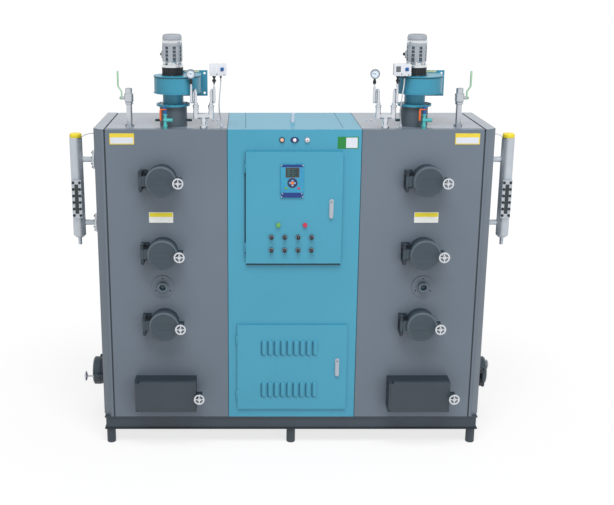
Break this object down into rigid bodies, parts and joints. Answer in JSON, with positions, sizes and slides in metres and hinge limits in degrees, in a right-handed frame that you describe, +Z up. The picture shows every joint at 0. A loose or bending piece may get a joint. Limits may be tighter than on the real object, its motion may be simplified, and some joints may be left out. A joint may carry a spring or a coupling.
{
  "type": "industrial boiler",
  "caption": "Paired steam boiler units in one clad casing with hinged cleaning doors, ash doors, a control cabinet, level columns, and blowers and pipework on its deck.",
  "frame": {"origin": "middle of the underside of the front middle foot", "axes": "+X to the viewer's right along the front, +Y from the front to the back, +Z up"},
  "size_m": [2.794, 0.88, 2.571],
  "materials": {
    "casing_grey": "satin",
    "casing_teal": "satin",
    "deck_grey": "satin",
    "door_grey": "satin",
    "dark_frame": "satin",
    "chrome_wheel": "polished",
    "stainless": "brushed",
    "motor_alloy": "satin",
    "black_plastic": "matte",
    "white_plastic": "satin",
    "yellow_plastic": "gloss",
    "handle_alloy": "satin",
    "display_plastic": "gloss",
    "lamp_plastic": "gloss",
    "gauge_glass": "gloss",
    "valve_teal": "gloss",
    "lever_orange": "gloss",
    "lever_green": "gloss",
    "gauge_case": "satin",
    "foot_steel": "satin",
    "rubber_lead": "satin"
  },
  "bodies": {
    "boiler": {"base_frame": "dark_frame", "base_feet": "foot_steel", "control_cabinet": "casing_teal", "cabinet_core": "casing_teal", "boiler_cores": "deck_grey", "front_panels": "casing_grey", "side_covers": "casing_grey", "door_necks": "door_grey", "ash_frames": "door_grey", "sight_ports": "door_grey", "pilot_lamps": "lamp_plastic", "deck_fittings": "stainless", "level_columns": "stainless", "level_glasses": "gauge_glass", "level_caps": "yellow_plastic", "probe_lead_left": "rubber_lead", "probe_lead_right": "rubber_lead", "blower_stands": "dark_frame", "fan_housing_left": "casing_teal", "fan_housing_right": "casing_teal", "fan_couplings": "black_plastic", "fan_motors": "motor_alloy", "drain_valves": "valve_teal", "steam_valves": "stainless", "steam_manifolds": "stainless", "pressure_gauges": "gauge_case", "pressure_switches": "white_plastic", "switch_cable_left": "rubber_lead", "switch_cable_right": "rubber_lead"},
    "upper_door_left": {"upper_door_left": "door_grey"},
    "upper_handwheel_left": {"upper_handwheel_left": "chrome_wheel"},
    "middle_door_left": {"middle_door_left": "door_grey"},
    "middle_handwheel_left": {"middle_handwheel_left": "chrome_wheel"},
    "lower_door_left": {"lower_door_left": "door_grey"},
    "lower_handwheel_left": {"lower_handwheel_left": "chrome_wheel"},
    "side_door_left": {"side_door_left": "door_grey"},
    "side_handwheel_left": {"side_handwheel_left": "chrome_wheel"},
    "ash_door_left": {"ash_door_left": "door_grey"},
    "ash_handwheel_left": {"ash_handwheel_left": "chrome_wheel"},
    "drain_lever_left": {"drain_lever_left": "lever_orange"},
    "steam_lever_left": {"steam_lever_left": "lever_green"},
    "upper_door_right": {"upper_door_right": "door_grey"},
    "upper_handwheel_right": {"upper_handwheel_right": "chrome_wheel"},
    "middle_door_right": {"middle_door_right": "door_grey"},
    "middle_handwheel_right": {"middle_handwheel_right": "chrome_wheel"},
    "lower_door_right": {"lower_door_right": "door_grey"},
    "lower_handwheel_right": {"lower_handwheel_right": "chrome_wheel"},
    "side_door_right": {"side_door_right": "door_grey"},
    "side_handwheel_right": {"side_handwheel_right": "chrome_wheel"},
    "ash_door_right": {"ash_door_right": "door_grey"},
    "ash_handwheel_right": {"ash_handwheel_right": "chrome_wheel"},
    "drain_lever_right": {"drain_lever_right": "lever_orange"},
    "steam_lever_right": {"steam_lever_right": "lever_green"},
    "panel_door": {"panel_door": "casing_teal", "panel_door_handle": "handle_alloy", "controller_display": "display_plastic", "panel_controls": "black_plastic"},
    "louvre_door": {"louvre_door": "casing_teal", "louvre_door_handle": "handle_alloy"}
  },
  "joints": [
    {"name": "upper_door_left_hinge", "type": "hinge", "parent": "boiler", "child": "upper_door_left", "pos_m": [-0.913, -0.116, 1.733], "axis": [0, 0, -1], "range_deg": [0, 110]},
    {"name": "upper_handwheel_left_spin", "type": "hinge", "parent": "upper_door_left", "child": "upper_handwheel_left", "pos_m": [-0.686, -0.19, 1.733], "axis": [0, -1, 0], "continuous": true},
    {"name": "middle_door_left_hinge", "type": "hinge", "parent": "boiler", "child": "middle_door_left", "pos_m": [-0.913, -0.116, 1.285], "axis": [0, 0, -1], "range_deg": [0, 110]},
    {"name": "middle_handwheel_left_spin", "type": "hinge", "parent": "middle_door_left", "child": "middle_handwheel_left", "pos_m": [-0.686, -0.19, 1.285], "axis": [0, -1, 0], "continuous": true},
    {"name": "lower_door_left_hinge", "type": "hinge", "parent": "boiler", "child": "lower_door_left", "pos_m": [-0.913, -0.116, 0.83], "axis": [0, 0, -1], "range_deg": [0, 110]},
    {"name": "lower_handwheel_left_spin", "type": "hinge", "parent": "lower_door_left", "child": "lower_handwheel_left", "pos_m": [-0.686, -0.19, 0.83], "axis": [0, -1, 0], "continuous": true},
    {"name": "side_door_left_hinge", "type": "hinge", "parent": "boiler", "child": "side_door_left", "pos_m": [-1.266, 0.443, 0.361], "axis": [0, 0, -1], "range_deg": [0, 110]},
    {"name": "side_handwheel_left_spin", "type": "hinge", "parent": "side_door_left", "child": "side_handwheel_left", "pos_m": [-1.34, 0.216, 0.361], "axis": [-1, 0, 0], "continuous": true},
    {"name": "ash_door_left_hinge", "type": "hinge", "parent": "boiler", "child": "ash_door_left", "pos_m": [-0.969, -0.1425, 0.371], "axis": [0, 0, -1], "range_deg": [0, 110]},
    {"name": "ash_handwheel_left_spin", "type": "hinge", "parent": "ash_door_left", "child": "ash_handwheel_left", "pos_m": [-0.578, -0.19, 0.371], "axis": [0, -1, 0], "continuous": true},
    {"name": "drain_lever_left_turn", "type": "hinge", "parent": "boiler", "child": "drain_lever_left", "pos_m": [-0.766, -0.01, 2.1435], "axis": [0, 0, 1], "range_deg": [0, 90]},
    {"name": "steam_lever_left_turn", "type": "hinge", "parent": "boiler", "child": "steam_lever_left", "pos_m": [-1.031, 0.09, 2.199], "axis": [1, 0, 0], "range_deg": [0, 90]},
    {"name": "upper_door_right_hinge", "type": "hinge", "parent": "boiler", "child": "upper_door_right", "pos_m": [0.667, -0.116, 1.733], "axis": [0, 0, -1], "range_deg": [0, 110]},
    {"name": "upper_handwheel_right_spin", "type": "hinge", "parent": "upper_door_right", "child": "upper_handwheel_right", "pos_m": [0.894, -0.19, 1.733], "axis": [0, -1, 0], "continuous": true},
    {"name": "middle_door_right_hinge", "type": "hinge", "parent": "boiler", "child": "middle_door_right", "pos_m": [0.667, -0.116, 1.285], "axis": [0, 0, -1], "range_deg": [0, 110]},
    {"name": "middle_handwheel_right_spin", "type": "hinge", "parent": "middle_door_right", "child": "middle_handwheel_right", "pos_m": [0.894, -0.19, 1.285], "axis": [0, -1, 0], "continuous": true},
    {"name": "lower_door_right_hinge", "type": "hinge", "parent": "boiler", "child": "lower_door_right", "pos_m": [0.667, -0.116, 0.83], "axis": [0, 0, -1], "range_deg": [0, 110]},
    {"name": "lower_handwheel_right_spin", "type": "hinge", "parent": "lower_door_right", "child": "lower_handwheel_right", "pos_m": [0.894, -0.19, 0.83], "axis": [0, -1, 0], "continuous": true},
    {"name": "side_door_right_hinge", "type": "hinge", "parent": "boiler", "child": "side_door_right", "pos_m": [1.266, 0.197, 0.361], "axis": [0, 0, -1], "range_deg": [0, 110]},
    {"name": "side_handwheel_right_spin", "type": "hinge", "parent": "side_door_right", "child": "side_handwheel_right", "pos_m": [1.34, 0.424, 0.361], "axis": [1, 0, 0], "continuous": true},
    {"name": "ash_door_right_hinge", "type": "hinge", "parent": "boiler", "child": "ash_door_right", "pos_m": [0.611, -0.1425, 0.371], "axis": [0, 0, -1], "range_deg": [0, 110]},
    {"name": "ash_handwheel_right_spin", "type": "hinge", "parent": "ash_door_right", "child": "ash_handwheel_right", "pos_m": [1.002, -0.19, 0.371], "axis": [0, -1, 0], "continuous": true},
    {"name": "drain_lever_right_turn", "type": "hinge", "parent": "boiler", "child": "drain_lever_right", "pos_m": [0.766, -0.01, 2.1435], "axis": [0, 0, 1], "range_deg": [0, 90]},
    {"name": "steam_lever_right_turn", "type": "hinge", "parent": "boiler", "child": "steam_lever_right", "pos_m": [1.031, 0.09, 2.199], "axis": [1, 0, 0], "range_deg": [0, 90]},
    {"name": "panel_door_hinge", "type": "hinge", "parent": "boiler", "child": "panel_door", "pos_m": [-0.2938, -0.0525, 1.556], "axis": [0, 0, -1], "range_deg": [0, 110]},
    {"name": "louvre_door_hinge", "type": "hinge", "parent": "boiler", "child": "louvre_door", "pos_m": [-0.3483, -0.047, 0.5295], "axis": [0, 0, -1], "range_deg": [0, 110]}
  ]
}
